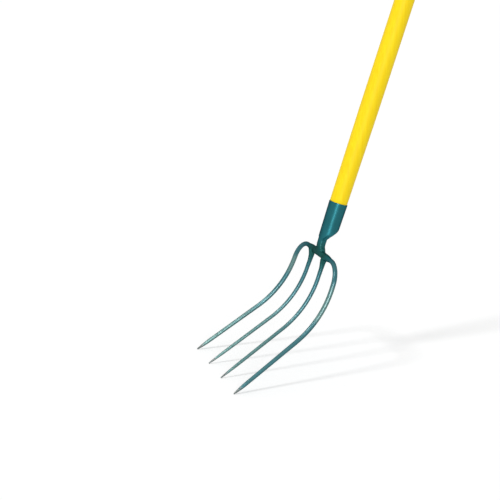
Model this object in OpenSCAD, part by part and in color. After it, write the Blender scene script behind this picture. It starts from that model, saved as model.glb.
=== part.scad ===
// Manure fork: four curved tines on a crown bar, a tapered socket and a long sheathed handle.
// Millimetres. +Z is up and the four points stand on z = 0.
// The tines point toward -Y and the handle leans toward +Y.

/* [Stance] */
// Lean of the handle from the vertical, in degrees
handle_lean = 18.6; // [12:0.1:26]

/* [Tines] */
// How much more a tine leans than the handle at the crown, in degrees
root_kick = 1.2; // [0:0.1:4]
// Straight run from the middle of the crown to the start of the curve
root_run = 45; // [42:1:70]
// Radius of the forward curve
curve_radius = 186.5; // [150:0.5:230]
// Angle of the forward curve, in degrees
curve_angle = 37.2; // [28:0.1:46]
// Straight run from the end of the curve to the point
point_run = 150.5; // [110:0.5:190]
// Diameter of an inner tine under the crown
inner_root_d = 8; // [7:0.1:9]
// Diameter of an inner tine where its point begins
inner_mid_d = 6.3; // [5.5:0.1:7.5]
// Length of an inner tine's ground point
inner_point_length = 56; // [40:1:75]
// Diameter of an outer tine under the shoulder
outer_root_d = 9.5; // [8:0.1:10.5]
// Diameter of an outer tine where its point begins
outer_mid_d = 7.5; // [6.5:0.1:8.5]
// Length of an outer tine's ground point
outer_point_length = 36; // [26:1:60]
// Thickness left at the very end of a point
point_end_d = 2.2; // [0.8:0.1:3]
// How full a point stays before its end, 1 for a straight cone
point_fullness = 2.3; // [1:0.1:3]
// Inner tines, distance from the middle at the crown
inner_root_x = 29.4; // [26:0.1:34]
// Inner tines, distance from the middle at the point
inner_tip_x = 39.5; // [34:0.1:46]
// Outer tines, distance from the middle above the curve
outer_root_x = 98.7; // [92:0.1:108]
// Outer tines, distance from the middle at the point
outer_tip_x = 121.8; // [112:0.1:132]
// Radius of the shoulder where an outer tine turns down
shoulder_radius = 38; // [33:0.5:40]
// Diameter of the arm that runs out from the crown
arm_d = 8.8; // [7:0.1:9.5]
// Half width of an inner tine where it meets the crown, widened away from the middle only
flare_half_width = 8; // [5.2:0.2:9]
// Length of that flare
flare_length = 18; // [12:0.5:24]

/* [Crown and neck] */
// Height of the crown, along the handle
crown_height = 12.4; // [11.6:0.2:15]
// How far the middle of the crown sits under the tines' and the neck's common origin
crown_drop = 1.8; // [0.5:0.1:2.4]
// Length over which the crown narrows to the arm, outside the inner tines
crown_taper = 11; // [8:1:13]
// Depth of the crown at the inner tines
crown_depth = 11; // [9.5:0.5:13]
// Depth of the crown under the neck
crown_boss_depth = 15; // [13:0.5:18]
// Rounding of the crown's edges
crown_edge_r = 2.6; // [1.5:0.1:3.5]
// Width of the neck
neck_width = 17; // [14:0.5:20]
// Depth of the neck, front to back
neck_depth = 15; // [13:0.2:17]
// Width of the neck's foot on the crown
neck_foot_width = 27; // [20:0.5:32]
// Play between the neck's front and the socket's wall
neck_play = 0.4; // [0.2:0.1:1]

/* [Socket] */
// Distance of the handle's axis behind the middle of the crown
axis_back = 5.4; // [4:0.1:6.5]
// Height of the socket's mouth above the middle of the crown
mouth_height = 102; // [94:1:116]
// Outer diameter at the mouth
mouth_d = 36.6; // [36:0.1:40]
// Outer diameter the taper would reach at the middle of the crown
base_d = 33; // [32:0.1:34]
// Wall of the rolled sheet
socket_wall = 1.4; // [1:0.1:2]
// Height of the slanted cut on the handle's axis
scarf_height = 29.5; // [27:0.5:32]
// Slant of that cut, in degrees
scarf_angle = 47.8; // [40:0.2:52]
// Height where the front of the socket ends
front_end_height = 24; // [20:0.5:30]
// Half width of the socket's lower end at that height
lower_half_width = 10.5; // [9.5:0.5:13]
// Height where the sides start to draw in
draw_in_height = 36; // [34:0.5:44]
// Width of the seam left open at the back
seam_gap = 1.2; // [0.6:0.1:3]
// Height where the handle sits on the neck's root
seat_height = 54; // [52:0.5:60]

/* [Handle] */
// Diameter of the handle
handle_d = 37; // [35:0.5:40]
// Length of the taper above the mouth
handle_taper_length = 185; // [120:5:260]
// Height of the sheath's upper end above the middle of the crown
handle_top = 1290; // [1000:10:1500]
// Outer diameter of the core tube
core_d = 28; // [26:0.5:30]
// Wall of the core tube
core_wall = 3; // [2:0.5:4.5]
// Length of the hardwood plug in the core's lower end
plug_length = 90; // [60:5:140]

/* [End cap] */
// Diameter of the cap
cap_d = 36; // [34:0.5:37]
// Length of the cap above the sheath
cap_length = 32; // [26:1:44]
// Rounding of the cap's top edge
cap_edge_r = 10; // [4:0.5:14]
// Length of the spigot in the core
spigot_length = 36; // [20:1:60]
// Diameter of the hanging hole
hang_hole_d = 8; // [6:0.5:10]
// Distance of the hanging hole from the sheath
hang_hole_height = 14; // [12:0.5:16]

/* [Screw] */
// Height of the fixing screw above the handle's seat
screw_rise = 26; // [18:1:34]
// Diameter of the shank
screw_d = 4; // [3:0.1:5]
// Diameter of the head
screw_head_d = 9.5; // [8:0.1:11]
// Height of the head over the socket
screw_head_h = 2.6; // [1.8:0.1:3.5]
// Reach of the shank past the core's wall into the plug
screw_bite = 12; // [8:0.5:16]
// Play around the shank in the socket, the sheath and the core
screw_play = 0.3; // [0.1:0.1:0.6]

/* [Hidden] */
$fn = 64;
paint = [0.12, 0.42, 0.41];
yellow = [0.97, 0.84, 0.12];
fibre = [0.82, 0.80, 0.70];
wood = [0.76, 0.60, 0.40];
zinc = [0.70, 0.71, 0.72];
sides = 14;
crown_half = crown_height / 2;
crown_top = crown_half - crown_drop;
crown_base = crown_half + crown_drop;
inner_size = [inner_root_d, inner_mid_d, inner_point_length];
outer_size = [outer_root_d, outer_mid_d, outer_point_length];
screw_height = seat_height + screw_rise;
crown_end_x = outer_root_x - shoulder_radius;
crown_flat_x = inner_root_x + 2 * flare_half_width - inner_root_d / 2;
curve_run = curve_radius * curve_angle * PI / 180;
tine_run = root_run + curve_run + point_run;
end_lean = root_kick + curve_angle;
core_r = core_d / 2;
screw_end = core_r - core_wall - screw_bite;
handle_r = handle_d / 2;
cap_r = cap_d / 2;
cap_top = handle_top + cap_length;
neck_front = axis_back - inner_r(front_end_height) + neck_play;
neck_mid_y = neck_front + neck_depth / 2;
neck_top = scarf_height + 6;

// Radius of the socket's outside and inside at a height above the middle of the crown
function outer_r(t) = base_d / 2 + (mouth_d - base_d) / 2 * t / mouth_height;
function inner_r(t) = outer_r(t) - socket_wall;

// Path of a tine in the head's own frame, by the run s from the middle of the crown
function bend(s) = root_kick + min(curve_angle, max(0, (s - root_run) / curve_radius * 180 / PI));
function past(s) = max(0, s - root_run - curve_run);
function path_y(s) = -min(s, root_run) * sin(root_kick)
    - curve_radius * (cos(root_kick) - cos(bend(s))) - past(s) * sin(end_lean);
function path_z(s) = -min(s, root_run) * cos(root_kick)
    - curve_radius * (sin(bend(s)) - sin(root_kick)) - past(s) * cos(end_lean);
function mix(a, b, w) = a + (b - a) * w;
function unit(v) = v / norm(v);
function ease(w) = w * w * (3 - 2 * w);

// Radius of a tine's section, for a size of root diameter, diameter at the point and length of the point
function point_start(k) = tine_run - k[2];
function point_part(s, k) = max(0, (s - point_start(k)) / k[2]);
function plain_r(s, k) =
    mix(k[0], k[1], max(0, min(1, (s - root_run) / (point_start(k) - root_run)))) / 2;
function tine_r(s, k) = mix(plain_r(s, k), point_end_d / 2, pow(point_part(s, k), point_fullness));

// Runs along the curve, the straight and the point
function lower_runs(k) = concat(
    [for (i = [0:13]) root_run + curve_run * i / 13],
    [mix(root_run + curve_run, point_start(k), 0.5)],
    [for (i = [0:8]) point_start(k) + k[2] * i / 8]);

// One ring of a section around a point of the path
function ring(c, t, a, b) =
    let (e2 = unit([0, 1, 0] - t[1] * t), e1 = cross(t, e2))
    [for (j = [0:sides - 1]) c + e1 * a * cos(360 * j / sides) + e2 * b * sin(360 * j / sides)];

// Faces of a skin over rings with k points each
function skin(n, k) = concat(
    [[for (j = [k - 1:-1:0]) j]],
    [for (i = [0:n - 2]) for (j = [0:k - 1]) [i * k + j, i * k + (j + 1) % k, (i + 1) * k + (j + 1) % k]],
    [for (i = [0:n - 2]) for (j = [0:k - 1]) [i * k + j, (i + 1) * k + (j + 1) % k, (i + 1) * k + j]],
    [[for (j = [0:k - 1]) (n - 1) * k + j]]);
function flat(rings) = [for (r = rings) for (p = r) p];

// Inner tine: starts on the crown's underside with a flare
inner_slope = (inner_tip_x - inner_root_x) / tine_run;
inner_start = crown_base / cos(root_kick);
function inner_c(s) = [
    inner_root_x + inner_slope * s - tine_r(s, inner_size) + inner_a(s),
    path_y(s),
    path_z(s)];
function inner_t(s) = s <= inner_start ? [0, 0, -1] : unit([inner_slope, -sin(bend(s)), -cos(bend(s))]);
function flare(s) = max(0, 1 - (s - inner_start) / flare_length);
function inner_a(s) = mix(tine_r(s, inner_size), flare_half_width, pow(flare(s), 2.4));
inner_runs = concat([for (i = [0:7]) inner_start + flare_length * i / 7], lower_runs(inner_size));
inner_rings = [for (s = inner_runs)
    ring(inner_c(s), inner_t(s), inner_a(s), tine_r(s, inner_size))];

// Outer tine: starts on the crown's end face and turns down over the shoulder
outer_slope = (outer_tip_x - outer_root_x) / tine_run;
function outer_c(s, f) = [
    outer_root_x + outer_slope * s - shoulder_radius * (1 - sin(f)),
    path_y(s),
    path_z(s)];
function outer_t(s, f) = unit([
    outer_slope * sin(f) + cos(f),
    -sin(bend(s)) * sin(f),
    -cos(bend(s)) * sin(f)]);
function turn_run(f) = mix(crown_drop, shoulder_radius, 1 - cos(f));
turn_rings = [for (i = [0:9]) let (f = 10 * i, s = turn_run(f), r = mix(arm_d, outer_root_d, i / 9) / 2)
    ring(outer_c(s, f), outer_t(s, f), r, r)];
outer_rings = concat(turn_rings, [for (s = lower_runs(outer_size)) let (r = tine_r(s, outer_size))
    ring(outer_c(s, 90), outer_t(s, 90), r, r)]);

// Crown: a rounded bar, flat above and below where the neck and the inner tines sit
function bar_ring(x, a, b, r) = [for (q = [0:3]) for (m = [0:3])
    let (w = 90 * q + 30 * m, sz = (q == 0 || q == 3) ? 1 : -1, sy = q < 2 ? 1 : -1)
    [x, sy * (b - r) + r * sin(w), sz * (a - r) + r * cos(w) - crown_drop]];
function crown_out(x) = ease(max(0, min(1, (abs(x) - crown_flat_x) / crown_taper)));
function crown_boss(x) = 1 - ease(max(0, min(1, (abs(x) - neck_foot_width / 2) / 13.5)));
function crown_a(x) = mix(crown_half, arm_d / 2, crown_out(x));
function crown_b(x) = mix(mix(crown_depth, crown_boss_depth, crown_boss(x)), arm_d, crown_out(x)) / 2;
function crown_r(x) = mix(crown_edge_r, arm_d / 2 * 0.9, crown_out(x));
half_x = concat(
    [for (i = [0:3]) neck_foot_width / 2 + 4.5 * i],
    [for (i = [0:8]) crown_flat_x + crown_taper * i / 8],
    [crown_end_x]);
crown_x = concat([for (i = [len(half_x) - 1:-1:0]) -half_x[i]], half_x);
crown_rings = [for (x = crown_x) bar_ring(x, crown_a(x), crown_b(x), crown_r(x))];

// Neck: a bar that stands on the crown with a broad foot and runs up into the socket
function neck_part(i) = i / 8;
function neck_rise(i) = min(1, neck_part(i) * 2.4);
function neck_w(i) = mix(neck_foot_width, neck_width, sin(90 * neck_rise(i))) / 2;
function neck_d(i) = mix(crown_boss_depth - 2 * crown_edge_r, neck_depth, ease(neck_rise(i))) / 2;
function neck_y(i) = mix(0, neck_mid_y, ease(neck_rise(i)));
neck_rings = [for (i = [0:8])
    ring([0, neck_y(i), mix(crown_top, neck_top, neck_part(i))], [0, 0, 1], neck_w(i), neck_d(i))];

// Stance: the lowest and the farthest points set the height and the middle
function stood_y(p) = p[1] * cos(handle_lean) + p[2] * sin(handle_lean);
function stood_z(p) = -p[1] * sin(handle_lean) + p[2] * cos(handle_lean);
head_z = -min([for (p = flat(outer_rings)) stood_z(p)]);
front_y = min([for (p = flat(outer_rings)) stood_y(p)]);
back_y = (axis_back + cap_r - cap_edge_r) * cos(handle_lean) + (cap_top - cap_edge_r) * sin(handle_lean)
    + cap_edge_r;
head_y = -(front_y + back_y) / 2;

module stand() {
    translate([0, head_y, head_z]) rotate([-handle_lean, 0, 0]) children();
}
module on_axis() {
    stand() translate([0, axis_back, 0]) children();
}

// What is cut away below the slant and outside the drawn-in sides of the socket's lower end
module lower_end_waste() {
    draw_in = atan2(outer_r(draw_in_height) - lower_half_width, draw_in_height - front_end_height);
    translate([0, 0, scarf_height]) rotate([scarf_angle, 0, 0])
        translate([-60, -60, -80]) cube([120, 140, 80]);
    for (m = [-1, 1])
        translate([m * lower_half_width, 0, front_end_height]) rotate([0, m * draw_in, 0])
            translate([m > 0 ? 0 : -40, -60, -60]) cube([40, 120, 120]);
}

module screw_bore(d) {
    translate([0, 0, screw_height]) rotate([0, -90, 0]) cylinder(h = mouth_d, d = d);
}

module crown() {
    color(paint) stand()
        polyhedron(points = flat(crown_rings), faces = skin(len(crown_rings), 16), convexity = 4);
}

module neck() {
    color(paint) union() {
        stand() polyhedron(points = flat(neck_rings), faces = skin(len(neck_rings), sides), convexity = 4);
        on_axis() difference() {
            translate([0, 0, front_end_height]) cylinder(
                h = seat_height - front_end_height,
                r1 = inner_r(front_end_height),
                r2 = inner_r(seat_height));
            lower_end_waste();
        }
    }
}

module socket() {
    color(paint) on_axis() difference() {
        rotate_extrude() polygon([
            [inner_r(front_end_height), front_end_height],
            [outer_r(front_end_height), front_end_height],
            [outer_r(mouth_height), mouth_height],
            [inner_r(mouth_height), mouth_height]]);
        lower_end_waste();
        translate([-seam_gap / 2, 0, 0]) cube([seam_gap, mouth_d, mouth_height + 1]);
        screw_bore(screw_d + 2 * screw_play);
    }
}

module inner_tine() {
    stand() polyhedron(points = flat(inner_rings), faces = skin(len(inner_rings), sides), convexity = 4);
}

module outer_tine() {
    stand() polyhedron(points = flat(outer_rings), faces = skin(len(outer_rings), sides), convexity = 4);
}

module inner_tine_left() {
    color(paint) inner_tine();
}

module inner_tine_right() {
    color(paint) mirror([1, 0, 0]) inner_tine();
}

module outer_tine_left() {
    color(paint) outer_tine();
}

module outer_tine_right() {
    color(paint) mirror([1, 0, 0]) outer_tine();
}

module handle_sheath() {
    color(yellow) on_axis() difference() {
        rotate_extrude() polygon([
            [core_r, seat_height],
            [inner_r(seat_height), seat_height],
            [inner_r(mouth_height), mouth_height],
            [handle_r, mouth_height + handle_taper_length],
            [handle_r, handle_top],
            [core_r, handle_top]]);
        screw_bore(screw_d + 2 * screw_play);
    }
}

module handle_core() {
    color(fibre) on_axis() difference() {
        translate([0, 0, seat_height]) cylinder(h = handle_top - seat_height, r = core_r);
        translate([0, 0, seat_height - 1]) cylinder(h = handle_top - seat_height + 2, r = core_r - core_wall);
        screw_bore(screw_d + 2 * screw_play);
    }
}

module core_plug() {
    color(wood) on_axis() difference() {
        translate([0, 0, seat_height]) cylinder(h = plug_length, r = core_r - core_wall);
        translate([-screw_end, 0, screw_height]) rotate([0, -90, 0]) cylinder(h = core_d, d = screw_d);
    }
}

module end_cap() {
    color(yellow) on_axis() difference() {
        rotate_extrude() polygon(concat(
            [[0, handle_top - spigot_length], [core_r - core_wall, handle_top - spigot_length],
                [core_r - core_wall, handle_top], [cap_r, handle_top]],
            [for (i = [0:8]) let (a = 90 * i / 8)
                [cap_r - cap_edge_r * (1 - cos(a)), cap_top - cap_edge_r * (1 - sin(a))]],
            [[0, cap_top]]));
        translate([0, 0, handle_top + hang_hole_height]) rotate([0, 90, 0])
            cylinder(h = cap_d + 4, d = hang_hole_d, center = true);
    }
}

module handle_screw() {
    color(zinc) on_axis() union() {
        difference() {
            translate([-(outer_r(screw_height) - 2), 0, screw_height]) rotate([0, -90, 0])
                cylinder(h = screw_head_h + 2, d = screw_head_d);
            cylinder(h = mouth_height, r1 = outer_r(0), r2 = outer_r(mouth_height));
        }
        translate([-screw_end, 0, screw_height]) rotate([0, -90, 0])
            cylinder(h = outer_r(screw_height) + screw_head_h / 2 - screw_end, d = screw_d);
    }
}

crown();
neck();
socket();
inner_tine_left();
inner_tine_right();
outer_tine_left();
outer_tine_right();
handle_sheath();
handle_core();
core_plug();
end_cap();
handle_screw();
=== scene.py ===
import math
from collections import namedtuple

import bmesh
import bpy
from mathutils import Matrix, Vector


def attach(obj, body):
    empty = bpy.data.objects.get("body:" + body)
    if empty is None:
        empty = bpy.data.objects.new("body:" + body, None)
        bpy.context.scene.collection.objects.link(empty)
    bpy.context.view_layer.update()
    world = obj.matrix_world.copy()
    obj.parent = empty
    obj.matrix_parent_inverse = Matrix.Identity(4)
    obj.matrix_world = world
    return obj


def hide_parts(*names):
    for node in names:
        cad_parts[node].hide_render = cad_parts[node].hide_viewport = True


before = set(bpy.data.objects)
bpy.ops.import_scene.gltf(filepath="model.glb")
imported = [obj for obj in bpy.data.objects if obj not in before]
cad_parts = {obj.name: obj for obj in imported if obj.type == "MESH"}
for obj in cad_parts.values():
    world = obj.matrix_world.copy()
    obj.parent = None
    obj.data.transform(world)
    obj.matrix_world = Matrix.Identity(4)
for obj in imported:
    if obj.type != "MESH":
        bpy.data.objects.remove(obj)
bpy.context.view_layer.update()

MM = 0.001
TINY = 1e-6

# Sizes repeated from the part's source, in millimetres and degrees
Tine = namedtuple("Tine", "root_d shank_d point_length")
INNER = Tine(root_d=8.0, shank_d=6.3, point_length=56.0)
OUTER = Tine(root_d=9.5, shank_d=7.5, point_length=36.0)
LEAN = 18.6
ROOT_KICK = 1.2
ROOT_RUN = 45.0
CURVE_RADIUS = 186.5
CURVE_ANGLE = 37.2
POINT_RUN = 150.5
POINT_END_D = 2.2
POINT_FULLNESS = 2.3
INNER_ROOT_X = 29.4
INNER_TIP_X = 39.5
OUTER_ROOT_X = 98.7
OUTER_TIP_X = 121.8
SHOULDER_RADIUS = 38.0
ARM_D = 8.8
FLARE_HALF_WIDTH = 8.0
CROWN_HEIGHT = 12.4
CROWN_DROP = 1.8
CROWN_TAPER = 11.0
CROWN_DEPTH = 11.0
CROWN_BOSS_DEPTH = 15.0
NECK_WIDTH = 17.0
NECK_DEPTH = 15.0
NECK_FOOT_WIDTH = 27.0
NECK_PLAY = 0.4
AXIS_BACK = 5.4
MOUTH_HEIGHT = 102.0
MOUTH_D = 36.6
BASE_D = 33.0
SOCKET_WALL = 1.4
SCARF_HEIGHT = 29.5
SCARF_ANGLE = 47.8
FRONT_END_HEIGHT = 24.0
DRAW_IN_HEIGHT = 36.0
SEAT_HEIGHT = 54.0
HANDLE_D = 37.0
HANDLE_TAPER_LENGTH = 185.0
HANDLE_TOP = 1290.0
CAP_D = 36.0
CAP_LENGTH = 32.0
CAP_EDGE_R = 10.0
HANG_HOLE_D = 8.0
HANG_HOLE_HEIGHT = 14.0
SCREW_HEIGHT = 80.0
SCREW_HEAD_D = 9.5
SCREW_HEAD_H = 2.6

# Sizes that follow from these
CROWN_HALF = CROWN_HEIGHT / 2
CROWN_TOP = CROWN_HALF - CROWN_DROP
CROWN_BASE = CROWN_HALF + CROWN_DROP
CROWN_END_X = OUTER_ROOT_X - SHOULDER_RADIUS
CROWN_FLAT_X = INNER_ROOT_X + 2 * FLARE_HALF_WIDTH - INNER.root_d / 2
CURVE_RUN = CURVE_RADIUS * math.radians(CURVE_ANGLE)
TINE_RUN = ROOT_RUN + CURVE_RUN + POINT_RUN
INNER_SLOPE = (INNER_TIP_X - INNER_ROOT_X) / TINE_RUN
OUTER_SLOPE = (OUTER_TIP_X - OUTER_ROOT_X) / TINE_RUN


# Numbers
def sind(angle):
    return math.sin(math.radians(angle))


def cosd(angle):
    return math.cos(math.radians(angle))


def mix(a, b, share):
    return a + (b - a) * share


def clamp(value, low=0.0, high=1.0):
    return max(low, min(high, value))


def ease(share):
    """Goes smoothly from 0 to 1, and is level at both ends."""
    share = clamp(share)
    return share * share * (3 - 2 * share)


def rise(value, start, run):
    """Goes smoothly from 0 at the start to 1 at the end of the run."""
    return ease((value - start) / run)


def soft_max(a, b, width):
    """The greater of two values, rounded over where they are nearly the same."""
    return (a + b + math.sqrt((a - b) ** 2 + width * width)) / 2


# Path of a tine in the head's own frame, by the run from the middle of the crown
FULL_TURN = 90.0


def bend(run):
    """Angle by which the path points forward of straight down."""
    return ROOT_KICK + clamp(math.degrees((run - ROOT_RUN) / CURVE_RADIUS), 0, CURVE_ANGLE)


def path_y(run):
    past = max(0, run - ROOT_RUN - CURVE_RUN)
    return (-min(run, ROOT_RUN) * sind(ROOT_KICK) - CURVE_RADIUS * (cosd(ROOT_KICK) - cosd(bend(run)))
            - past * sind(ROOT_KICK + CURVE_ANGLE))


def path_z(run):
    past = max(0, run - ROOT_RUN - CURVE_RUN)
    return (-min(run, ROOT_RUN) * cosd(ROOT_KICK) - CURVE_RADIUS * (sind(bend(run)) - sind(ROOT_KICK))
            - past * cosd(ROOT_KICK + CURVE_ANGLE))


def inner_middle(run):
    return Vector((INNER_ROOT_X + INNER_SLOPE * run, path_y(run), path_z(run)))


def inner_heading(run):
    return Vector((INNER_SLOPE, -sind(bend(run)), -cosd(bend(run)))).normalized()


def outer_middle(run, turn=FULL_TURN):
    """Middle of an outer tine, after some of the shoulder's turn or past all of it."""
    x = OUTER_ROOT_X + OUTER_SLOPE * run - SHOULDER_RADIUS * (1 - sind(turn))
    return Vector((x, path_y(run), path_z(run)))


def outer_heading(run, turn=FULL_TURN):
    x = OUTER_SLOPE * sind(turn) + cosd(turn)
    return Vector((x, -sind(bend(run)) * sind(turn), -cosd(bend(run)) * sind(turn))).normalized()


def run_at(turn):
    """The run reached after some of the shoulder's turn."""
    return mix(CROWN_DROP, SHOULDER_RADIUS, 1 - cosd(turn))


def point_start(tine):
    return TINE_RUN - tine.point_length


def plain_r(run, tine):
    """Radius of a tine without its point."""
    share = clamp((run - ROOT_RUN) / (point_start(tine) - ROOT_RUN))
    return mix(tine.root_d, tine.shank_d, share) / 2


def tine_r(run, tine):
    share = max(0, (run - point_start(tine)) / tine.point_length)
    return mix(plain_r(run, tine), POINT_END_D / 2, share ** POINT_FULLNESS)


# Radii of the socket by the height along its axis
def socket_r(height):
    return BASE_D / 2 + (MOUTH_D - BASE_D) / 2 * height / MOUTH_HEIGHT


def bore_r(height):
    return socket_r(height) - SOCKET_WALL


# Mesh tools
def ring(middle, heading, wide, deep, sides=32, power=2.0):
    """One section around a point of a path, by its half sizes; power over 2 squares it off."""
    back = (Vector((0, 1, 0)) - heading * heading.y).normalized()
    side = heading.cross(back)
    points = []
    for j in range(sides):
        angle = 2 * math.pi * j / sides
        reach = (abs(math.cos(angle)) ** power + abs(math.sin(angle)) ** power) ** (-1 / power)
        point = middle + side * (wide * reach * math.cos(angle))
        points.append(point + back * (deep * reach * math.sin(angle)))
    return points


def add_rings(bm, rings):
    """Adds rings of equal count with faces between them, and gives their vertices."""
    made = [[bm.verts.new(point) for point in points] for points in rings]
    count = len(rings[0])
    for low, high in zip(made, made[1:]):
        for j in range(count):
            k = (j + 1) % count
            bm.faces.new((low[j], low[k], high[k], high[j]))
    return made


def skin(bm, rings):
    """Adds a closed skin over rings."""
    made = add_rings(bm, rings)
    bm.faces.new(list(reversed(made[0])))
    bm.faces.new(made[-1])


def join_sweep(bm, edges, rings):
    """Goes on from an open edge with a sweep of rings, closed at its far end."""
    made = add_rings(bm, rings)
    bm.faces.new(made[-1])
    count = len(rings[0])
    first = [bm.edges.get((made[0][j], made[0][(j + 1) % count])) for j in range(count)]
    bmesh.ops.bridge_loops(bm, edges=edges + first)


def revolve(profile, sides=96):
    """Turns a profile of (radius, height) points about Z into a bmesh; radius 0 closes an end."""
    bm = bmesh.new()
    rows = []
    for radius, height in profile:
        angles = [2 * math.pi * j / sides for j in range(sides)] if radius else [0]
        rows.append([bm.verts.new((radius * math.cos(a), radius * math.sin(a), height)) for a in angles])
    for low, high in zip(rows, rows[1:]):
        for j in range(sides):
            k = (j + 1) % sides
            if len(low) == 1:
                bm.faces.new((low[0], high[k], high[j]))
            elif len(high) == 1:
                bm.faces.new((low[j], low[k], high[0]))
            else:
                bm.faces.new((low[j], low[k], high[k], high[j]))
    return bm


def shade_smooth(mesh, sharp):
    """Shades a mesh smooth, but for edges over an angle in degrees."""
    mesh.shade_smooth()
    mesh.set_sharp_from_angle(angle=math.radians(sharp))


def new_object(name, bm, matrix, sharp=40):
    """Makes a smooth-shaded object of a bmesh, placed by a matrix."""
    bmesh.ops.transform(bm, matrix=matrix, verts=bm.verts)
    bmesh.ops.recalc_face_normals(bm, faces=bm.faces)
    mesh = bpy.data.meshes.new(name)
    bm.to_mesh(mesh)
    bm.free()
    shade_smooth(mesh, sharp)
    obj = bpy.data.objects.new(name, mesh)
    bpy.context.scene.collection.objects.link(obj)
    return obj


def bake_modifiers(obj):
    """Replaces an object's mesh by the one its modifiers give."""
    graph = bpy.context.evaluated_depsgraph_get()
    mesh = bpy.data.meshes.new_from_object(obj.evaluated_get(graph))
    obj.modifiers.clear()
    obj.data = mesh


CUT_MERGE = 0.002


def boolean_cut(obj, cutter):
    """Cuts an object by another, removes the cutter and cleans the cut's edges."""
    modifier = obj.modifiers.new("cut", "BOOLEAN")
    modifier.operation = "DIFFERENCE"
    modifier.solver = "EXACT"
    modifier.object = cutter
    bake_modifiers(obj)
    bpy.data.objects.remove(cutter)
    bm = bmesh.new()
    bm.from_mesh(obj.data)
    bmesh.ops.remove_doubles(bm, verts=bm.verts, dist=CUT_MERGE)
    bmesh.ops.dissolve_degenerate(bm, edges=bm.edges, dist=CUT_MERGE)
    bmesh.ops.triangulate(bm, faces=[face for face in bm.faces if len(face.verts) > 4])
    bm.to_mesh(obj.data)
    bm.free()


def bisect(bm, point, normal):
    """Keeps the side of a bmesh behind a plane and gives the edges of the cut."""
    geom = bm.verts[:] + bm.edges[:] + bm.faces[:]
    made = bmesh.ops.bisect_plane(bm, geom=geom, plane_co=point, plane_no=normal, clear_outer=True)
    return [item for item in made["geom_cut"] if isinstance(item, bmesh.types.BMEdge)]


# Place of the head in the part's frame, from the lowest and farthest points, with the source's own rings
TIP_RINGS = 8
TIP_SIDES = 14


def tip_reach():
    points = []
    for i in range(TIP_RINGS + 1):
        run = mix(point_start(OUTER), TINE_RUN, i / TIP_RINGS)
        radius = tine_r(run, OUTER)
        points += ring(outer_middle(run), outer_heading(run), radius, radius, sides=TIP_SIDES)
    low = min(-p.y * sind(LEAN) + p.z * cosd(LEAN) for p in points)
    front = min(p.y * cosd(LEAN) + p.z * sind(LEAN) for p in points)
    return low, front


low_z, front_y = tip_reach()
back_y = ((AXIS_BACK + CAP_D / 2 - CAP_EDGE_R) * cosd(LEAN)
          + (HANDLE_TOP + CAP_LENGTH - CAP_EDGE_R) * sind(LEAN) + CAP_EDGE_R)
STAND = (Matrix.Scale(MM, 4) @ Matrix.Translation((0, -(front_y + back_y) / 2, -low_z))
         @ Matrix.Rotation(math.radians(-LEAN), 4, "X"))
ON_AXIS = STAND @ Matrix.Translation((0, AXIS_BACK, 0))
IN_PLACE = Matrix.Identity(4)
MIRROR = Matrix.Scale(-1, 4, (1, 0, 0))


def mirrored(rings, side):
    """Rings made for the left side, 1, as they are on a side; the right side is -1."""
    return rings if side > 0 else [[MIRROR @ point for point in points] for points in rings]


def sided(vector, side):
    return Vector((vector.x * side, vector.y, vector.z))


# Neck and socket: one run of sections from the crown's top to the mouth, parted where the socket begins
NECK_BACK = -bore_r(FRONT_END_HEIGHT) + NECK_PLAY + NECK_DEPTH
PART_SOCKET = FRONT_END_HEIGHT + 1.0
# The foot flares out over the crown
FOOT_RISE = 12.0
FOOT_SPREAD = 10.0
FOOT_BACK = 2.2
FOOT_FRONT_INSET = 4.0
# The sides and the front draw in from the tube to the neck's bar
SIDE_MARGIN = 5.0
DRAW_MARGIN = 6.0
DRAW_FULLNESS = 1.25
REAR_INSET = 0.4
FRONT_INSET = 1.4
FRONT_INSET_TOP = 52.0
FRONT_INSET_RUN = 24.0
# The scarf at the back has two faces, turned to the sides
SCARF_TURN = 18.0
SCARF_SOFTNESS = 1.6
# How square the corners are, from the foot's oval to the tube's crisp edges
FOOT_POWER = 2.0
BAR_POWER = 2.8
TUBE_POWER = 16
SQUARING_START = 27.0
SQUARING_RUN = 10.0
# The seam at the back, by angles about the axis
SECTION_STEP = 4
SEAM_ANGLE = 90
SEAM_STEPS = (1.6, 2.2, 3.2, 4.5)
SEAM_HALF_ANGLE = 1.8
SEAM_DEPTH = 0.9
SEAM_LIP_HALF_ANGLE = 2.5
SEAM_LIP_DEPTH = 0.16
SEAM_START = SCARF_HEIGHT + 22.0
SEAM_FADE = 3.0


def around():
    """Angles of a section, close together where the seam lies at the back."""
    angles = [a for a in range(0, 360, SECTION_STEP) if abs(a - SEAM_ANGLE) > SEAM_STEPS[-1]]
    angles.append(SEAM_ANGLE)
    for step in SEAM_STEPS:
        angles += [SEAM_ANGLE - step, SEAM_ANGLE + step]
    return sorted(angles)


def seam_depth(angle, height):
    off = abs(angle - SEAM_ANGLE)
    if off > SEAM_LIP_HALF_ANGLE:
        return 0.0
    depth = SEAM_DEPTH if off < SEAM_HALF_ANGLE else SEAM_LIP_DEPTH
    return depth * rise(height, SEAM_START, SEAM_FADE)


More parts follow.
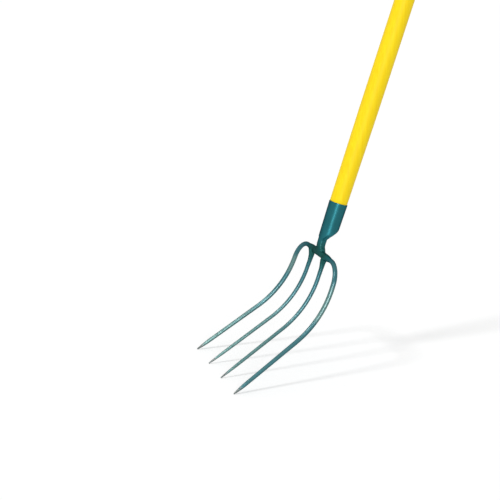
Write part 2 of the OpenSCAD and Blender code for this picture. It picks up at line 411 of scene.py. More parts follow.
def neck_section(height, grow=0.0):
    """Section of the neck or socket at a height, as points around the handle's axis."""
    foot = 1 - rise(height, CROWN_TOP, FOOT_RISE)
    circle = socket_r(height) + grow
    draw = clamp((height - FRONT_END_HEIGHT) / (DRAW_IN_HEIGHT + DRAW_MARGIN - FRONT_END_HEIGHT))
    side = mix(NECK_WIDTH / 2, socket_r(height) + SIDE_MARGIN, draw ** DRAW_FULLNESS)
    side += FOOT_SPREAD * foot ** 2 + grow
    scarf = (height - SCARF_HEIGHT) / math.tan(math.radians(SCARF_ANGLE))
    rear = NECK_BACK - REAR_INSET + grow + FOOT_BACK * foot
    ahead = socket_r(height) - FRONT_INSET * ease((FRONT_INSET_TOP - height) / FRONT_INSET_RUN)
    ahead = mix(ahead, socket_r(FRONT_END_HEIGHT) - FOOT_FRONT_INSET, foot) + grow
    centre = (min(max(scarf, rear), circle) - ahead) / 2
    sharp = mix(mix(BAR_POWER, FOOT_POWER, foot), TUBE_POWER, rise(height, SQUARING_START, SQUARING_RUN))
    points = []
    for angle in around():
        cos, sin = cosd(angle), sind(angle)
        reaches = []
        if abs(cos) > TINY:
            reaches.append(side / abs(cos))
        if sin > TINY:
            slant = scarf + grow - centre * cosd(SCARF_TURN)
            slant /= sin * cosd(SCARF_TURN) + abs(cos) * sind(SCARF_TURN)
            reaches.append(soft_max(slant, (rear - centre) / sin, SCARF_SOFTNESS))
        elif sin < -TINY:
            reaches.append((ahead + centre) / -sin)
        bar = sum(reach ** -sharp for reach in reaches) ** (-1 / sharp)
        shift = centre * sin
        tube = -shift + math.sqrt(shift * shift + circle * circle - centre * centre)
        out = (bar ** -TUBE_POWER + tube ** -TUBE_POWER) ** (-1 / TUBE_POWER) - seam_depth(angle, height)
        points.append(Vector((out * cos, AXIS_BACK + centre + out * sin, height)))
    return points


def round_section(height, radius):
    return [Vector((radius * cosd(a), AXIS_BACK + radius * sind(a), height)) for a in around()]


SOCKET_RINGS = 60
SOCKET_CROWDING = 1.3
RIM = 0.45 * SOCKET_WALL
RIM_CHAMFER = 0.7 * RIM
RIM_CHAMFER_DEPTH = 0.6 * RIM
RIM_ANGLES = (35, 65, 90)
BORE_STEP = 6.0
BORE_PLAY = 0.05


def make_socket():
    rings = []
    for i in range(SOCKET_RINGS + 1):
        share = (i / SOCKET_RINGS) ** SOCKET_CROWDING
        rings.append(neck_section(mix(PART_SOCKET, MOUTH_HEIGHT - RIM, share)))
    for angle in RIM_ANGLES:
        radius = socket_r(MOUTH_HEIGHT) - RIM * (1 - cosd(angle))
        rings.append(round_section(MOUTH_HEIGHT - RIM * (1 - sind(angle)), radius))
    rings.append(round_section(MOUTH_HEIGHT, bore_r(MOUTH_HEIGHT) + RIM_CHAMFER))
    for height in (MOUTH_HEIGHT - RIM_CHAMFER_DEPTH, MOUTH_HEIGHT - BORE_STEP, SCREW_HEIGHT, SEAT_HEIGHT):
        rings.append(round_section(height, bore_r(height) + BORE_PLAY))
    bm = bmesh.new()
    skin(bm, rings)
    return new_object("socket_shell", bm, STAND, sharp=55)


# Crown, neck and tine roots are one forging: separate shells melted together, then parted at the nodes' faces
ALONG_X = Vector((1, 0, 0))
# The shells grow by about what the melting and softening take off
GROW = 0.3
MELT_VOXEL = 0.6
SOFTEN_FACTOR = 0.5
SOFTEN_STEPS = 30
# The crown runs into the arms over a longer stretch than in the source
CROWN_BLEND_INSIDE = 3.0
CROWN_BLEND_LONGER = 9.0
CROWN_OVERRUN = 0.5
CROWN_RINGS = 60
CROWN_SIDES = 48
CROWN_POWER = 2.5
ARM_POWER = 2.0
BOSS_BLEND = 13.5
ARM_SUNK = 6.0
ARM_TURN = 36.0
ARM_RINGS = 18
# Each inner tine's root spreads outward, ahead and behind where it comes out of the crown
ROOT_RINGS = 39
ROOT_SUNK = 9.0
ROOT_REACH = 36.0
SINK_DEPTH = 1.0
SINK_RUN = 8.0
WEB = 10.0
WEB_RAISED = 2.0
ROOT_BLEND = 20.0
ROOT_AHEAD = 4.2
ROOT_AHEAD_FULLNESS = 1.3
ROOT_BEHIND = 1.0
NECK_RINGS = 40
NECK_SUNK = 3.0
NECK_OVERRUN = 8.0


def crown_out(x):
    """0 on the crown's middle, 1 on an arm."""
    return rise(abs(x), CROWN_FLAT_X - CROWN_BLEND_INSIDE, CROWN_TAPER + CROWN_BLEND_LONGER)


def crown_ring(x):
    boss = 1 - rise(abs(x), NECK_FOOT_WIDTH / 2, BOSS_BLEND)
    high = mix(CROWN_HALF, ARM_D / 2, crown_out(x))
    deep = mix(mix(CROWN_DEPTH, CROWN_BOSS_DEPTH, boss), ARM_D, crown_out(x)) / 2
    return ring(Vector((x, 0, -CROWN_DROP)), ALONG_X, high + GROW, deep + GROW, sides=CROWN_SIDES,
                power=mix(CROWN_POWER, ARM_POWER, crown_out(x)))


def arm_rings():
    radius = ARM_D / 2 + GROW
    rings = [ring(Vector((CROWN_END_X - ARM_SUNK, 0, -CROWN_DROP)), ALONG_X, radius, radius)]
    for i in range(ARM_RINGS + 1):
        turn = ARM_TURN * i / ARM_RINGS
        run = run_at(turn)
        rings.append(ring(outer_middle(run, turn), outer_heading(run, turn), radius, radius))
    return rings


def root_rings():
    rings = []
    for i in range(ROOT_RINGS + 1):
        run = mix(CROWN_BASE - ROOT_SUNK, CROWN_BASE + ROOT_REACH, i / ROOT_RINGS)
        radius = plain_r(run, INNER) + GROW
        shown = 1 - ease((CROWN_BASE - SINK_DEPTH - run) / SINK_RUN)
        near = clamp(1 - (run - CROWN_BASE + WEB_RAISED) / WEB)
        web = WEB * (1 - math.sqrt(1 - near * near)) * shown
        near = clamp(1 - (run - CROWN_BASE) / ROOT_BLEND)
        ahead = ROOT_AHEAD * near ** ROOT_AHEAD_FULLNESS * shown
        behind = ROOT_BEHIND * near * shown
        middle = inner_middle(run) + Vector((web / 2, (behind - ahead) / 2, 0))
        rings.append(ring(middle, inner_heading(run), radius + web / 2, radius + (ahead + behind) / 2))
    return rings


def make_forging():
    bm = bmesh.new()
    reach = CROWN_END_X + CROWN_OVERRUN
    skin(bm, [crown_ring(mix(-reach, reach, i / CROWN_RINGS)) for i in range(CROWN_RINGS + 1)])
    for side in (1, -1):
        skin(bm, mirrored(arm_rings(), side))
        skin(bm, mirrored(root_rings(), side))
    low, high = CROWN_TOP - NECK_SUNK, PART_SOCKET + NECK_OVERRUN
    skin(bm, [neck_section(mix(low, high, i / NECK_RINGS), GROW) for i in range(NECK_RINGS + 1)])
    obj = new_object("forging", bm, IN_PLACE)
    melt = obj.modifiers.new("melt", "REMESH")
    melt.mode = "VOXEL"
    melt.voxel_size = MELT_VOXEL
    soften = obj.modifiers.new("soften", "SMOOTH")
    soften.factor = SOFTEN_FACTOR
    soften.iterations = SOFTEN_STEPS
    bake_modifiers(obj)
    return obj


def part_of(forging, planes):
    """A closed part of the forging, behind some planes."""
    bm = bmesh.new()
    bm.from_mesh(forging.data)
    for point, normal in planes:
        bmesh.ops.holes_fill(bm, edges=bisect(bm, point, normal), sides=0)
    return bm


def open_at(bm, point, normal):
    """Cuts a part off at a plane and gives its open edge."""
    return [edge for edge in bisect(bm, point, normal) if edge.is_boundary]


# The forging is parted a little outside the crown's own faces
PART_MARGIN = 0.7
PART_LOW = -CROWN_BASE - PART_MARGIN
PART_HIGH = CROWN_TOP + PART_MARGIN
# Where the swept tines take over from the forging, as a run and as an angle of the shoulder
INNER_STUB = 36.0
INNER_JOIN = 1.6
INNER_SIDE_X = 50.0
ARM_STUB = 27.0
ARM_JOIN = 2.4
TURN_RINGS = 31
TINE_RINGS = 120
TINE_CROWDING = 1.15
TIP_SHARES = (0.8, 0.45)
TIP_ROUND = 0.6


def make_crown(forging):
    return new_object("crown_bar", part_of(forging, [
        ((0, 0, PART_HIGH), (0, 0, 1)), ((0, 0, PART_LOW), (0, 0, -1)),
        ((CROWN_END_X, 0, 0), (1, 0, 0)), ((-CROWN_END_X, 0, 0), (-1, 0, 0))]), STAND)


def make_neck(forging):
    return new_object("neck_bar", part_of(forging, [
        ((0, 0, PART_HIGH), (0, 0, -1)), ((0, 0, PART_SOCKET), (0, 0, 1))]), STAND)


def tine_rings(middle_at, heading_at, start, tine):
    """Rings of a tine from a run to its point, closer together there, and a blunt end."""
    rings = []
    for i in range(TINE_RINGS + 1):
        run = mix(start, TINE_RUN, 1 - (1 - i / TINE_RINGS) ** TINE_CROWDING)
        radius = tine_r(run, tine)
        rings.append(ring(middle_at(run), heading_at(run), radius, radius))
    last = rings[-1]
    middle = sum(last, Vector()) / len(last)
    out = heading_at(TINE_RUN) * tine_r(TINE_RUN, tine) * TIP_ROUND
    for share in TIP_SHARES:
        rings.append([middle + (point - middle) * share + out * (1 - share) for point in last])
    return rings


def make_inner(name, forging, side, wear):
    bm = part_of(forging, [((0, 0, PART_LOW), (0, 0, 1)), ((0, 0, 0), (-side, 0, 0)),
                           ((INNER_SIDE_X * side, 0, 0), (side, 0, 0))])
    edges = open_at(bm, sided(inner_middle(INNER_STUB), side), sided(inner_heading(INNER_STUB), side))
    rings = tine_rings(inner_middle, inner_heading, INNER_STUB + INNER_JOIN, INNER)
    join_sweep(bm, edges, mirrored(rings, side))
    return finish_tine(name, bm, sided(inner_middle(TINE_RUN), side), wear)


def make_outer(name, forging, side, wear):
    bm = part_of(forging, [((CROWN_END_X * side, 0, 0), (-side, 0, 0))])
    run = run_at(ARM_STUB)
    edges = open_at(bm, sided(outer_middle(run, ARM_STUB), side), sided(outer_heading(run, ARM_STUB), side))
    rings = []
    for i in range(TURN_RINGS):
        turn = mix(ARM_STUB + ARM_JOIN, FULL_TURN, i / TURN_RINGS)
        run = run_at(turn)
        radius = mix(ARM_D, OUTER.root_d, turn / FULL_TURN) / 2
        rings.append(ring(outer_middle(run, turn), outer_heading(run, turn), radius, radius))
    rings += tine_rings(outer_middle, outer_heading, SHOULDER_RADIUS, OUTER)
    join_sweep(bm, edges, mirrored(rings, side))
    return finish_tine(name, bm, sided(outer_middle(TINE_RUN), side), wear)


# Levels kept on the head's vertices for its paint, from the vertex's place in the head's own frame
# Painted highlight on each outer tine's bend, stronger on the left tine, by its middle height and reach
HighlightPatch = namedtuple("HighlightPatch", "middle reach")
LEFT_HIGHLIGHT = HighlightPatch(middle=74, reach=36)
RIGHT_HIGHLIGHT = HighlightPatch(middle=54, reach=18)
HIGHLIGHT_FADE = 10.0
HIGHLIGHT_PALENESS = 0.9
ROD_COAT = 0.64
WEAR_START = 40.0
WEAR_RUN = 230.0
BARE_START = 3.0
BARE_RUN = 32.0


def keep_level(obj, name, level):
    """Keeps a level for each vertex, as a function of its place gives it."""
    local = STAND.inverted()
    layer = obj.data.attributes.new(name, "FLOAT", "POINT")
    layer.data.foreach_set("value", [level(local @ vertex.co) for vertex in obj.data.vertices])


def bend_highlight_level(place):
    """How strongly a painted highlight lies on an outer tine where it bends, below its shoulder."""
    highlight_patch = LEFT_HIGHLIGHT if place.x > 0 else RIGHT_HIGHLIGHT
    inside = highlight_patch.reach + HIGHLIGHT_FADE - abs(place.z + highlight_patch.middle)
    return rise(abs(place.x), start=80, run=15) * ease(inside / (2 * HIGHLIGHT_FADE))


def crown_shade_level(place):
    """How near a vertex is to the crown, where the paint is darkened as painted shade."""
    away = rise(place.z, start=8, run=20) if place.z > 0 else rise(-place.z, start=10, run=35)
    return (1 - away) * (1 - rise(abs(place.x), start=32, run=32))


def rod_level(place):
    """How far out a vertex is on a round rod, and more where the painted highlight lies on an outer tine's
    bend.
    """
    rod = max(rise(abs(place.x), start=48, run=36), rise(-place.z, start=12, run=36))
    return ROD_COAT * rod + (1 - ROD_COAT) * bend_highlight_level(place)


def rolled_level(place):
    """How far up a vertex is on the rolled socket."""
    return rise(place.z, start=24, run=16)


def finish_tine(name, bm, tip, wear):
    """Makes the tine's object and keeps its wear toward its point, the painted highlight on an outer tine's
    bend, and how bare it is near the point.
    """
    obj = new_object(name, bm, STAND, sharp=60)

    def wear_and_highlight_level(place):
        wear_and_highlight = wear * ease(1 - ((place - tip).length - WEAR_START) / WEAR_RUN)
        # The painted highlight on the bend is mixed in like wear
        return max(wear_and_highlight, HIGHLIGHT_PALENESS * bend_highlight_level(place))

    def bare_level(place):
        return ease(1 - ((place - tip).length - BARE_START) / BARE_RUN)

    keep_level(obj, "wear_and_highlight", wear_and_highlight_level)
    keep_level(obj, "bare", bare_level)
    return obj


# Handle skin: a tube that tapers to the socket's bore at its lower end
SKIN_BORE_R = 14.0
SKIN_MERGE = 0.001
SEAT_CHAMFER = 0.6
SEAT_CHAMFER_HEIGHT = 0.8
# Around the socket's mouth: the play below and above its rim, and the step out to the taper
MOUTH_BELOW = 4.0
PLAY_BELOW = 0.15
MOUTH_ABOVE = 0.3
PLAY_ABOVE = 0.1
TAPER_START = 1.2
TAPER_STEP = 0.45
TAPER_RINGS = 24
SHAFT_RINGS = 40
TOP_EDGE = 1.0
TOP_EDGE_MID = 0.3


def make_handle_skin():
    radius = HANDLE_D / 2
    seat_r, mouth_r = bore_r(SEAT_HEIGHT), bore_r(MOUTH_HEIGHT)
    taper_low, taper_high = MOUTH_HEIGHT + TAPER_START, MOUTH_HEIGHT + HANDLE_TAPER_LENGTH
    profile = [(SKIN_BORE_R, SEAT_HEIGHT), (seat_r - SEAT_CHAMFER, SEAT_HEIGHT),
               (seat_r, SEAT_HEIGHT + SEAT_CHAMFER_HEIGHT),
               (mouth_r - PLAY_BELOW, MOUTH_HEIGHT - MOUTH_BELOW),
               (mouth_r - PLAY_ABOVE, MOUTH_HEIGHT + MOUTH_ABOVE)]
    for i in range(TAPER_RINGS + 1):
        share = i / TAPER_RINGS
        profile.append((mix(mouth_r + TAPER_STEP, radius, share), mix(taper_low, taper_high, share)))
    for i in range(1, SHAFT_RINGS + 1):
        profile.append((radius, mix(taper_high, HANDLE_TOP - TOP_EDGE, i / SHAFT_RINGS)))
    profile += [(radius - TOP_EDGE_MID, HANDLE_TOP - TOP_EDGE_MID), (radius - TOP_EDGE, HANDLE_TOP),
                (SKIN_BORE_R, HANDLE_TOP)]
    bm = revolve(profile + [profile[0]])
    bmesh.ops.remove_doubles(bm, verts=bm.verts, dist=SKIN_MERGE)
    return new_object("handle_skin", bm, ON_AXIS)


# End cap: a spigot in the core, a domed top and a hanging hole across it with flared ends
SPIGOT_R = 11.0
SPIGOT_LENGTH = 30.0
SPIGOT_EDGE = 0.4
SPIGOT_EDGE_HEIGHT = 1.0
CAP_RIM = 0.6
DOME_STEPS = 16
HOLE_STRAIGHT = 17.0
HOLE_REACH = 26.0
HOLE_FLARE = 6.0
HOLE_SIDES = 48


def make_cap():
    radius = CAP_D / 2
    top = HANDLE_TOP + CAP_LENGTH
    foot = HANDLE_TOP - SPIGOT_LENGTH
    profile = [(0, foot), (SPIGOT_R - SPIGOT_EDGE, foot), (SPIGOT_R, foot + SPIGOT_EDGE_HEIGHT),
               (SPIGOT_R, HANDLE_TOP), (radius - CAP_RIM, HANDLE_TOP), (radius, HANDLE_TOP + CAP_RIM)]
    for i in range(DOME_STEPS + 1):
        angle = 90 * i / DOME_STEPS
        profile.append((radius - CAP_EDGE_R * (1 - cosd(angle)), top - CAP_EDGE_R * (1 - sind(angle))))
    profile.append((0, top))
    obj = new_object("end_cap_body", revolve(profile), IN_PLACE)
    hole = HANG_HOLE_D / 2
    spool = [(0, -HOLE_REACH), (hole + HOLE_FLARE, -HOLE_REACH), (hole, -HOLE_STRAIGHT),
             (hole, HOLE_STRAIGHT), (hole + HOLE_FLARE, HOLE_REACH), (0, HOLE_REACH)]
    across = (Matrix.Translation((0, 0, HANDLE_TOP + HANG_HOLE_HEIGHT))
              @ Matrix.Rotation(math.pi / 2, 4, "Y"))
    boolean_cut(obj, new_object("hang_cutter", revolve(spool, sides=HOLE_SIDES), across))
    obj.data.transform(ON_AXIS)
    shade_smooth(obj.data, sharp=35)
    return obj


# Screw head: a low dome with a cross recess, on the socket's right side
SCREW_SUNK = 1.5
SCREW_EDGE = 0.3
SCREW_BRIM = 0.5
SCREW_STEPS = 10
SCREW_SIDES = 48
RECESS_SIZE = (4.6, 1.0, 2.6)
RECESS_TURN = 30.0


def make_screw():
    radius = SCREW_HEAD_D / 2
    profile = [(0, -SCREW_SUNK), (radius - SCREW_EDGE, -SCREW_SUNK), (radius, SCREW_EDGE - SCREW_SUNK),
               (radius, SCREW_BRIM)]
    for i in range(1, SCREW_STEPS):
        angle = 90 * i / SCREW_STEPS
        profile.append((radius * cosd(angle), SCREW_BRIM + (SCREW_HEAD_H - SCREW_BRIM) * sind(angle)))
    profile.append((0, SCREW_HEAD_H))
    obj = new_object("screw_head", revolve(profile, sides=SCREW_SIDES), IN_PLACE)
    for turn in (RECESS_TURN, RECESS_TURN + 90):
        bm = bmesh.new()
        bmesh.ops.create_cube(bm, size=1)
        bmesh.ops.scale(bm, vec=RECESS_SIZE, verts=bm.verts)
        place = Matrix.Translation((0, 0, SCREW_HEAD_H)) @ Matrix.Rotation(math.radians(turn), 4, "Z")
        boolean_cut(obj, new_object("recess", bm, place))
    obj.data.transform(ON_AXIS @ Matrix.Translation((-socket_r(SCREW_HEIGHT), 0, SCREW_HEIGHT))
                       @ Matrix.Rotation(-math.pi / 2, 4, "Y"))
    shade_smooth(obj.data, sharp=35)
    return obj


# Materials
def linear(red, green, blue):
    """A colour of 0 to 255 as the linear values that a shader takes."""
    def one(value):
        value /= 255
        return value / 12.92 if value <= 0.04045 else ((value + 0.055) / 1.055) ** 2.4
    return (one(red), one(green), one(blue), 1.0)


class Nodes:
    """Builds a material's nodes."""
    def __init__(self, name):
        self.mat = bpy.data.materials.new(name)
        self.mat.use_nodes = True
        self.tree = self.mat.node_tree
        self.tree.nodes.clear()
        self.out = self.add("ShaderNodeOutputMaterial")

    def add(self, kind, **props):
        node = self.tree.nodes.new(kind)
        for key, value in props.items():
            setattr(node, key, value)
        return node

    def link(self, start, end):
        self.tree.links.new(start, end)

    def put(self, value, end):
        """Links an output to an input, or sets the input to a value."""
        if isinstance(value, bpy.types.NodeSocket):
            self.link(value, end)
        else:
            end.default_value = value

    def principled(self):
        """Adds the surface's shader and gives its inputs."""
        shader = self.add("ShaderNodeBsdfPrincipled")
        self.link(shader.outputs[0], self.out.inputs["Surface"])
        return shader.inputs

    def coords(self, scale=(1, 1, 1), tilt=0.0):
        source = self.add("ShaderNodeTexCoord")
        node = self.add("ShaderNodeMapping")
        node.inputs["Rotation"].default_value = (math.radians(tilt), 0, 0)
        node.inputs["Scale"].default_value = scale
        self.link(source.outputs["Object"], node.inputs["Vector"])
        return node.outputs[0]

    def level(self, name):
        return self.add("ShaderNodeAttribute", attribute_name=name).outputs["Fac"]

    def noise(self, vector, scale, detail=3.0, rough=0.5):
        node = self.add("ShaderNodeTexNoise")
        node.inputs["Scale"].default_value = scale
        node.inputs["Detail"].default_value = detail
        node.inputs["Roughness"].default_value = rough
        self.link(vector, node.inputs["Vector"])
        return node.outputs["Fac"]

    def ramp(self, fac, stops):
        node = self.add("ShaderNodeValToRGB")
        elements = node.color_ramp.elements
        while len(elements) < len(stops):
            elements.new(0.5)
        for element, (position, colour) in zip(elements, stops):
            element.position = position
            element.color = linear(*colour)
        self.link(fac, node.inputs[0])
        return node.outputs[0]

    def span(self, fac, given, wanted):
        """Maps one range of values onto another, and holds its ends."""
        node = self.add("ShaderNodeMapRange")
        for end, value in zip(node.inputs[1:], (*given, *wanted)):
            end.default_value = value
        self.link(fac, node.inputs[0])
        return node.outputs[0]

    def mix_colour(self, fac, first, second):
        node = self.add("ShaderNodeMix", data_type="RGBA")
        self.put(fac, node.inputs[0])
        self.put(first, node.inputs[6])
        self.put(second, node.inputs[7])
        return node.outputs[2]

    def math(self, operation, first, second):
        node = self.add("ShaderNodeMath", operation=operation)
        self.put(first, node.inputs[0])
        self.put(second, node.inputs[1])
        return node.outputs[0]

    def bump(self, height, strength, distance, before=None):
        node = self.add("ShaderNodeBump")
        node.inputs["Strength"].default_value = strength
        node.inputs["Distance"].default_value = distance
        self.link(height, node.inputs["Height"])
        if before is not None:
            self.link(before, node.inputs["Normal"])
        return node.outputs[0]


TEAL_TONES = [(0.25, (14, 86, 91)), (0.55, (19, 96, 104)), (0.8, (27, 108, 118))]
TEAL_GRAIN = (14, 86, 93)
# Painted shade: the darker tone laid on the crown and neck
CROWN_SHADE_TONE = (10, 76, 70)
# Pale tone for wear and for the painted highlight on the outer tines' bends
WEAR_AND_HIGHLIGHT_TONE = (90, 124, 113)
STEEL_TONES = [(0.3, (62, 74, 72)), (0.7, (92, 102, 98))]
STEEL_ROUGHER = 0.14


def paint_material(name):
    """Glossy teal paint: darkened on the crown and neck as painted shade, with wear on the tines and a
    painted highlight on the outer tines' bends, off to bare steel at the points.
    """
    n = Nodes(name)
    shader = n.principled()
    at = n.coords()
    fine = n.noise(at, scale=420, detail=3, rough=0.55)
    base = n.ramp(n.noise(at, scale=28, detail=4, rough=0.6), TEAL_TONES)
    base = n.mix_colour(n.span(fine, (0.35, 0.75), (0.0, 0.35)), base, linear(*TEAL_GRAIN))
    # Painted shade: the paint darkens in patches toward the crown and neck
    shade_patches = n.span(n.noise(at, scale=45, detail=3, rough=0.6), (0.3, 0.7), (0.65, 1.0))
    base = n.mix_colour(n.math("MULTIPLY", n.level("painted_shade"), shade_patches), base, linear(*CROWN_SHADE_TONE))
    # Wear toward the points and the painted highlight on the outer tines' bends both mix in the pale tone
    wear_and_highlight_patches = n.span(n.noise(at, scale=60, detail=3, rough=0.5), (0.3, 0.7), (0.42, 0.68))
    base = n.mix_colour(n.math("MULTIPLY", n.level("wear_and_highlight"), wear_and_highlight_patches), base, linear(*WEAR_AND_HIGHLIGHT_TONE))
    ragged = n.span(n.noise(at, scale=150, detail=4, rough=0.7), (0.2, 0.8), (-0.30, 0.30))
    bare = n.span(n.math("ADD", n.level("bare"), ragged), (0.45, 0.85), (0.0, 1.0))
    n.link(n.mix_colour(bare, base, n.ramp(fine, STEEL_TONES)), shader["Base Color"])
    bright = n.math("MAXIMUM", bare, n.level("rolled"))
    n.link(n.span(bright, (0.0, 1.0), (0.45, 0.7)), shader["Metallic"])
    rough = n.span(fine, (0.2, 0.8), (0.30, 0.36))
    n.link(n.math("ADD", rough, n.math("MULTIPLY", bare, STEEL_ROUGHER)), shader["Roughness"])
    peel = n.bump(n.noise(at, scale=700, detail=2), strength=0.03, distance=0.0006)
    peel = n.bump(n.noise(at, scale=40, detail=2), strength=0.08, distance=0.003, before=peel)
    n.link(peel, shader["Normal"])
    shader["Specular IOR Level"].default_value = 0.0
    shader["Specular Tint"].default_value = (0.15, 0.15, 0.15, 1)
    n.link(n.span(n.level("rod"), (0.0, 1.0), (0.04, 0.18)), shader["Coat Weight"])
    shader["Coat IOR"].default_value = 4.0
    shader["Coat Roughness"].default_value = 0.28
    n.link(peel, shader["Coat Normal"])
    return n.mat


HANDLE_TONES = ((240, 202, 8), (247, 216, 18), (251, 226, 34))
CAP_TONES = ((228, 184, 8), (240, 202, 18), (246, 214, 36))


def yellow_material(name, tones):
    """Satin yellow plastic with faint streaks along the handle."""
    n = Nodes(name)
    shader = n.principled()
    along = n.coords(scale=(1, 1, 0.03), tilt=LEAN)
    at = n.coords()
    streak = n.noise(along, scale=260, detail=4, rough=0.6)
    base = n.ramp(streak, list(zip((0.3, 0.6, 0.85), tones)))
    broad = n.span(n.noise(at, scale=9), (0.35, 0.75), (0.0, 0.30))
    n.link(n.mix_colour(broad, base, linear(*tones[0])), shader["Base Color"])
    n.link(n.span(streak, (0.2, 0.8), (0.46, 0.6)), shader["Roughness"])
    first = n.bump(streak, strength=0.10, distance=0.0006)
    fine = n.noise(at, scale=900, detail=2)
    n.link(n.bump(fine, strength=0.08, distance=0.0003, before=first), shader["Normal"])
    shader["Specular IOR Level"].default_value = 0.2
    return n.mat


Grain = namedtuple("Grain", "scale detail rough")


def grained_material(name, grain, tones, roughness, strength, distance, squeeze=1.0, metallic=0.0):
    """A material whose colour, roughness and bump follow one grain, which a squeeze under 1 draws out."""
    n = Nodes(name)
    shader = n.principled()
    at = n.coords(scale=(1, 1, squeeze), tilt=LEAN if squeeze < 1 else 0.0)
    fac = n.noise(at, *grain)
    n.link(n.ramp(fac, list(zip((0.3, 0.7), tones))), shader["Base Color"])
    n.link(n.span(fac, (0.2, 0.8), roughness), shader["Roughness"])
    n.link(n.bump(fac, strength, distance), shader["Normal"])
    shader["Metallic"].default_value = metallic
    return n.mat


def zinc_material():
    return grained_material("screw_zinc", Grain(scale=1600, detail=4, rough=0.6),
                            tones=((166, 168, 168), (190, 192, 190)), roughness=(0.25, 0.45),
                            strength=0.05, distance=0.0002, metallic=0.95)


def fibre_material():
    return grained_material("core_fibreglass", Grain(scale=500, detail=3, rough=0.6),
                            tones=((206, 200, 170), (232, 226, 200)), roughness=(0.4, 0.6),
                            strength=0.2, distance=0.0004, squeeze=0.05)


def wood_material():
    return grained_material("plug_wood", Grain(scale=320, detail=5, rough=0.6),
                            tones=((158, 118, 72), (214, 178, 128)), roughness=(0.55, 0.75),
                            strength=0.25, distance=0.0005, squeeze=0.06)


# Pieces, each in the place of its node
def dress(obj, mat, node):
    """Gives a piece its material, puts it in the root body and hides the node's own mesh that it takes the
    place of.
    """
    obj.data.materials.clear()
    obj.data.materials.append(mat)
    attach(obj, "root")
    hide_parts(node)


socket = make_socket()
forging = make_forging()
head = {
    "crown": make_crown(forging),
    "neck": make_neck(forging),
    "socket": socket,
    "inner_tine_left": make_inner("inner_tine_left_bar", forging, side=1, wear=0.85),
    "inner_tine_right": make_inner("inner_tine_right_bar", forging, side=-1, wear=1.0),
    "outer_tine_left": make_outer("outer_tine_left_bar", forging, side=1, wear=0.12),
    "outer_tine_right": make_outer("outer_tine_right_bar", forging, side=-1, wear=1.0),
}
bpy.data.objects.remove(forging)
paint = paint_material("head_paint")
for node, obj in head.items():
    # The crown's painted shade, the rods' coat and the socket's rolled level
    keep_level(obj, "painted_shade", crown_shade_level)
    keep_level(obj, "rod", rod_level)
    keep_level(obj, "rolled", rolled_level)
    dress(obj, paint, node)
dress(make_handle_skin(), yellow_material("handle_yellow", HANDLE_TONES), "handle_sheath")
dress(make_cap(), yellow_material("cap_yellow", CAP_TONES), "end_cap")
dress(make_screw(), zinc_material(), "handle_screw")
for node, mat in (("handle_core", fibre_material()), ("core_plug", wood_material())):
    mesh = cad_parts[node].data
    mesh.materials.clear()
    mesh.materials.append(mat)

# Floor, world, lamps and camera
FLOOR_HALF = 20.0
FLOOR_GREY = 0.8
FLOOR_GLOW = 0.355
SKY_LIGHT = 0.5
SKY_SEEN = 1.0
# The point that the lamps and the camera are turned to
AIM = Vector((0, -0.254678, 0.236216))
LAMP_DISTANCE = 3.0
SENSOR = 36.0
IMAGE_SIDE = 500
FOCAL_PIXELS = 1244.278
CAMERA_AZIMUTH = 71.789
CAMERA_ELEVATION = 16.504
CAMERA_ROLL = -0.42
CAMERA_DISTANCE = 2.359138
scene = bpy.context.scene


def seen_rays(tree):
    """1 for the rays that show the surroundings directly, in gloss or through glass, and otherwise 0."""
    path = tree.nodes.new("ShaderNodeLightPath")
    share = path.outputs["Is Camera Ray"]
    for kind in ("Is Glossy Ray", "Is Transmission Ray"):
        top = tree.nodes.new("ShaderNodeMath")
        top.operation = "MAXIMUM"
        tree.links.new(share, top.inputs[0])
        tree.links.new(path.outputs[kind], top.inputs[1])
        share = top.outputs[0]
    return share


def toward(azimuth, elevation):
    """Direction from the aim; azimuth 0 is on the -Y side, 90 on the +X side."""
    a, e = math.radians(azimuth), math.radians(elevation)
    return Vector((math.sin(a) * math.cos(e), -math.cos(a) * math.cos(e), math.sin(e)))


def make_floor():
    bm = bmesh.new()
    bmesh.ops.create_grid(bm, x_segments=2, y_segments=2, size=FLOOR_HALF)
    floor = new_object("floor", bm, IN_PLACE)
    n = Nodes("floor_white")
    diffuse = n.add("ShaderNodeBsdfDiffuse")
    diffuse.inputs["Color"].default_value = (FLOOR_GREY, FLOOR_GREY, FLOOR_GREY, 1)
    glow = n.add("ShaderNodeEmission")
    glow.inputs["Color"].default_value = (1, 1, 1, 1)
    n.link(n.math("MULTIPLY", seen_rays(n.tree), FLOOR_GLOW), glow.inputs["Strength"])
    both = n.add("ShaderNodeAddShader")
    n.link(diffuse.outputs[0], both.inputs[0])
    n.link(glow.outputs[0], both.inputs[1])
    n.link(both.outputs[0], n.out.inputs["Surface"])
    floor.data.materials.append(n.mat)


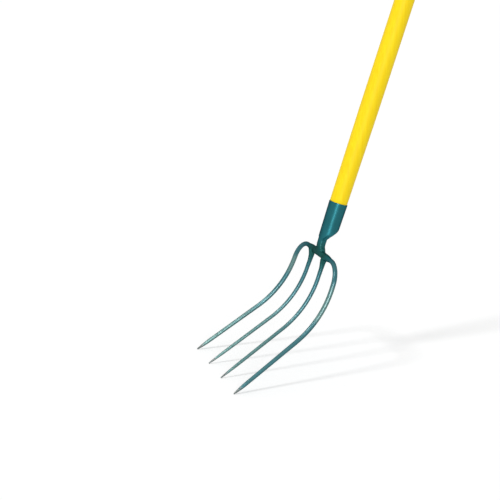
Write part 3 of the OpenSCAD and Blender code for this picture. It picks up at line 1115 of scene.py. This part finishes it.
def make_world():
    world = bpy.data.worlds.new("studio")
    scene.world = world
    world.use_nodes = True
    tree = world.node_tree
    tree.nodes.clear()
    out = tree.nodes.new("ShaderNodeOutputWorld")
    sky = tree.nodes.new("ShaderNodeBackground")
    sky.inputs["Color"].default_value = (1, 1, 1, 1)
    level = tree.nodes.new("ShaderNodeMapRange")
    level.inputs["To Min"].default_value = SKY_LIGHT
    level.inputs["To Max"].default_value = SKY_SEEN
    tree.links.new(seen_rays(tree), level.inputs[0])
    tree.links.new(level.outputs[0], sky.inputs["Strength"])
    tree.links.new(sky.outputs[0], out.inputs["Surface"])


def lamp(name, azimuth, elevation, strength, spread, colour=(1, 1, 1)):
    light = bpy.data.lights.new(name, "SUN")
    light.energy = strength
    light.color = colour
    light.angle = math.radians(spread)
    obj = bpy.data.objects.new(name, light)
    away = toward(azimuth, elevation)
    obj.location = AIM + away * LAMP_DISTANCE
    obj.rotation_euler = away.to_track_quat("Z", "Y").to_euler()
    scene.collection.objects.link(obj)


def make_camera():
    camera = bpy.data.cameras.new("camera")
    camera.lens = SENSOR * FOCAL_PIXELS / IMAGE_SIDE
    camera.sensor_width = SENSOR
    camera.sensor_fit = "HORIZONTAL"
    camera.clip_start = 0.05
    camera.clip_end = 60
    eye = bpy.data.objects.new("camera", camera)
    azimuth, roll = math.radians(CAMERA_AZIMUTH), math.radians(CAMERA_ROLL)
    back = toward(CAMERA_AZIMUTH, CAMERA_ELEVATION)
    level = Vector((math.cos(azimuth), math.sin(azimuth), 0))
    plumb = back.cross(level)
    right = level * math.cos(roll) + plumb * math.sin(roll)
    up = plumb * math.cos(roll) - level * math.sin(roll)
    turn = Matrix((right, up, back)).transposed().to_4x4()
    eye.matrix_world = Matrix.Translation(AIM + back * CAMERA_DISTANCE) @ turn
    scene.collection.objects.link(eye)
    scene.camera = eye


make_floor()
make_world()
lamp("key", azimuth=9, elevation=50, strength=0.95, spread=10)
lamp("camera_side", azimuth=68, elevation=12, strength=1.55, spread=18, colour=(0.93, 0.97, 1.0))
make_camera()
scene.view_settings.view_transform = "Standard"
